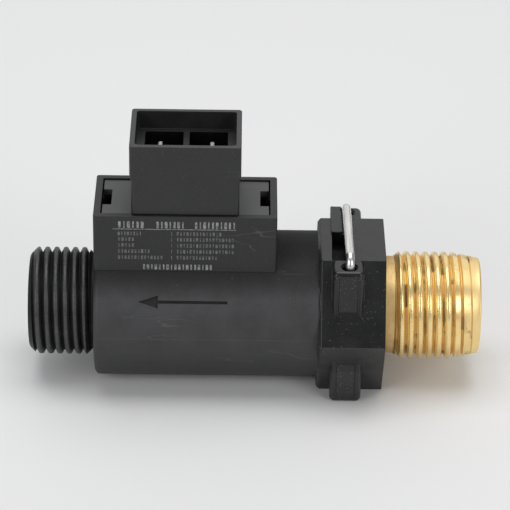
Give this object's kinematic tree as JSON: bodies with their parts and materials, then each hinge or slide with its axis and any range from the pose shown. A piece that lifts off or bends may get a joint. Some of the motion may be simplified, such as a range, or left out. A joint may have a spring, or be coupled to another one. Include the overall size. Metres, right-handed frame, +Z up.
{
  "type": "flow switch",
  "caption": "Inline water flow switch: plastic body with threaded outlet, brass inlet nipple held by a wire clip, magnet piston, and a reed switch under a plug-in connector.",
  "frame": {"origin": "centre of the inlet nipple's end face, on the flow axis", "axes": "+X along the flow axis, out of the inlet, so water runs towards -X; +Z up towards the connector; -Y is the side with the flow arrow"},
  "size_m": [0.0875, 0.0334, 0.0527],
  "materials": {
    "housing_black": "matt black glass-filled moulding",
    "cover_black": "matt dark grey-black moulding",
    "brass": "bright turned brass",
    "spring_wire": "bright drawn stainless wire",
    "rubber": "matt black rubber",
    "inner_white": "natural white moulding",
    "mesh_steel": "woven stainless wire",
    "ferrite": "dark grey ferrite",
    "tinned_tab": "tinned brass",
    "board_green": "green solder mask",
    "solder": "bright solder",
    "reed_glass": "clear greenish glass",
    "lead_metal": "plated nickel-iron"
  },
  "bodies": {
    "housing": {"body_housing": "housing_black", "seat_ring": "inner_white", "seat_o_ring": "rubber", "stem_guide": "inner_white", "switch_cover": "cover_black", "terminal_tab_left": "tinned_tab", "terminal_tab_right": "tinned_tab", "circuit_board": "board_green", "tab_solder_left": "solder", "tab_solder_right": "solder", "lead_solder_left": "solder", "lead_solder_right": "solder", "reed_glass": "reed_glass", "reed_lead_left": "lead_metal", "reed_lead_right": "lead_metal", "reed_armature": "lead_metal"},
    "nipple": {"inlet_nipple": "brass", "nipple_o_ring": "rubber", "strainer_frame": "inner_white", "strainer_mesh": "mesh_steel"},
    "piston": {"piston_body": "inner_white", "piston_washer": "rubber", "piston_magnet": "ferrite", "magnet_cap": "inner_white", "return_spring": "spring_wire"},
    "clip": {"retaining_clip": "spring_wire"}
  },
  "joints": [
    {"name": "piston_slide", "type": "slide", "parent": "housing", "child": "piston", "axis": [-1, 0, 0], "range_m": [0, 0.0055], "stiffness_N_per_m": 60, "springref_m": -0.004, "deforming": ["return_spring"]},
    {"name": "nipple_swivel", "type": "hinge", "parent": "housing", "child": "nipple", "pos_m": [0, 0, 0], "axis": [1, 0, 0], "continuous": true},
    {"name": "clip_pull", "type": "slide", "parent": "housing", "child": "clip", "axis": [0, 0, 1], "range_m": [0, 0.032]}
  ]
}
